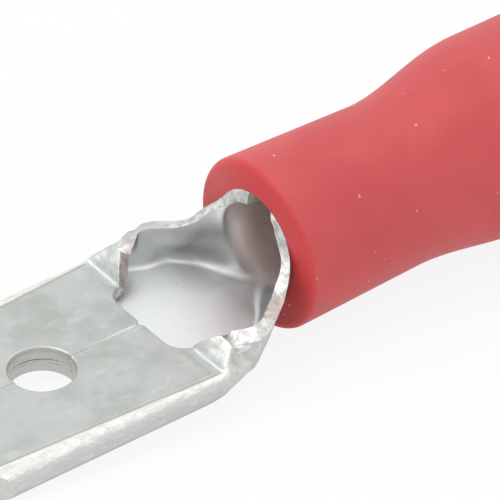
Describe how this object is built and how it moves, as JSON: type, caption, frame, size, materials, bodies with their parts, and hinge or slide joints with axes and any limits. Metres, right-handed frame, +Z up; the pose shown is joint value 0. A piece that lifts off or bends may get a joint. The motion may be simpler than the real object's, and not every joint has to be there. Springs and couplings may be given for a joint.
{
  "type": "male spade terminal",
  "caption": "Flat folded tab with a latch hole, opening through a trough into a rolled wire barrel that is covered by a soft sleeve with a flared wire entry.",
  "frame": {"origin": "middle of the tab's tip, halfway through its width and thickness", "axes": "+X from the tip along the tab to the wire entry, +Y across the tab, +Z up through the seam side"},
  "size_m": [0.0219, 0.0064, 0.0056],
  "materials": {
    "tinned_sheet": "dull tin plating over brass",
    "red_vinyl": "soft satin vinyl"
  },
  "bodies": {
    "root": {"blade_terminal": "tinned_sheet", "insulating_sleeve": "red_vinyl"}
  },
  "joints": []
}
